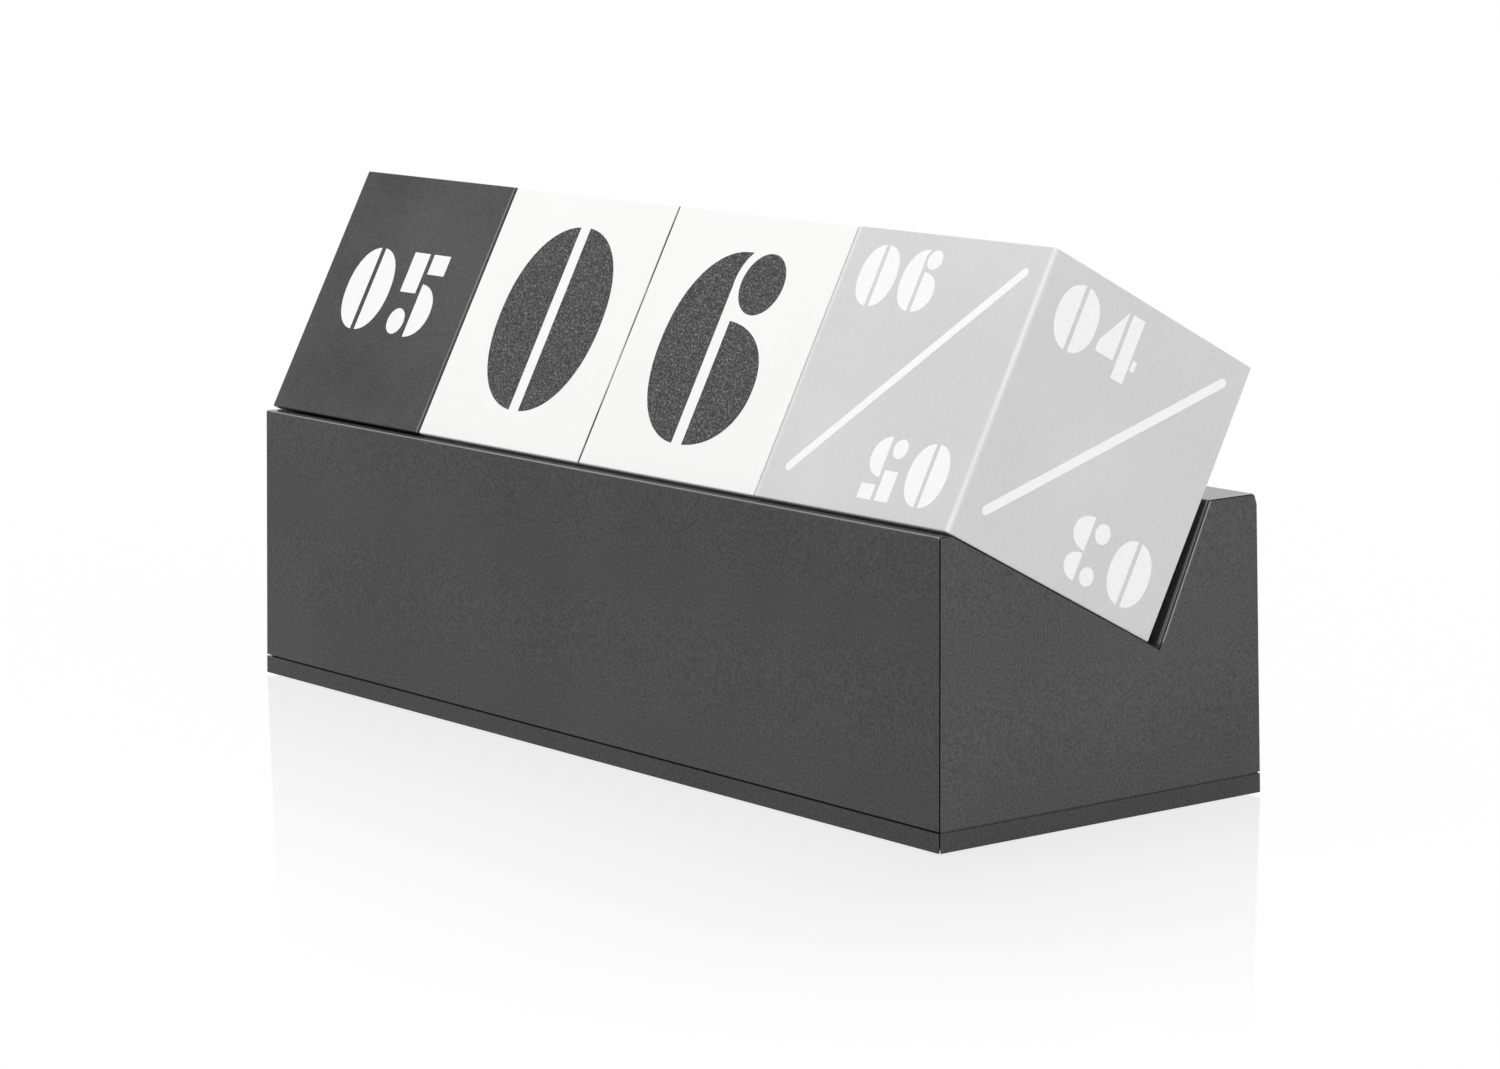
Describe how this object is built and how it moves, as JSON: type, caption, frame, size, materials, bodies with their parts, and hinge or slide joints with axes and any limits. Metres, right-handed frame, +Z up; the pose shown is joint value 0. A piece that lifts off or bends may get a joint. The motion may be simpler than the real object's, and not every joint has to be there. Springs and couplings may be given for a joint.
{
  "type": "desk calendar with drawer",
  "caption": "Perpetual desk calendar: turnable cubes in a V trough on a long plastic holder, whose end panel pulls out a drawer.",
  "frame": {"origin": "on the table under the middle of the holder", "axes": "+X along the holder towards the drawer's end, +Y to the back, +Z up"},
  "size_m": [0.1942, 0.0694, 0.0932],
  "materials": {
    "charcoal_plastic": "fine spark texture, satin",
    "tray_plastic": "smooth satin",
    "dark_cube": "satin",
    "white_cube": "semi gloss",
    "grey_cube": "semi gloss",
    "screw_steel": "zinc plated",
    "foot_rubber": "matte"
  },
  "bodies": {
    "holder": {"holder_shell": "charcoal_plastic", "base_plate": "charcoal_plastic", "base_screws": "screw_steel", "foot_front_left": "foot_rubber", "foot_front_right": "foot_rubber", "foot_rear_left": "foot_rubber", "foot_rear_right": "foot_rubber"},
    "drawer": {"drawer_front": "charcoal_plastic", "drawer_tray": "tray_plastic", "drawer_front_screws": "screw_steel"},
    "weekday_cube": {"weekday_cube_body": "dark_cube", "weekday_cube_lid": "dark_cube"},
    "tens_cube": {"tens_cube_body": "white_cube", "tens_cube_lid": "white_cube"},
    "units_cube": {"units_cube_body": "white_cube", "units_cube_lid": "white_cube"},
    "month_cube": {"month_cube_body": "grey_cube", "month_cube_lid": "grey_cube"}
  },
  "joints": [
    {"name": "drawer_slide", "type": "slide", "parent": "holder", "child": "drawer", "axis": [1, 0, 0], "range_m": [0, 0.12]},
    {"name": "weekday_cube_lift", "type": "slide", "parent": "holder", "child": "weekday_cube", "axis": [0, 0, 1], "range_m": [0, 0.07]},
    {"name": "tens_cube_lift", "type": "slide", "parent": "holder", "child": "tens_cube", "axis": [0, 0, 1], "range_m": [0, 0.07]},
    {"name": "units_cube_lift", "type": "slide", "parent": "holder", "child": "units_cube", "axis": [0, 0, 1], "range_m": [0, 0.07]},
    {"name": "month_cube_lift", "type": "slide", "parent": "holder", "child": "month_cube", "axis": [0, 0, 1], "range_m": [0, 0.07]}
  ]
}
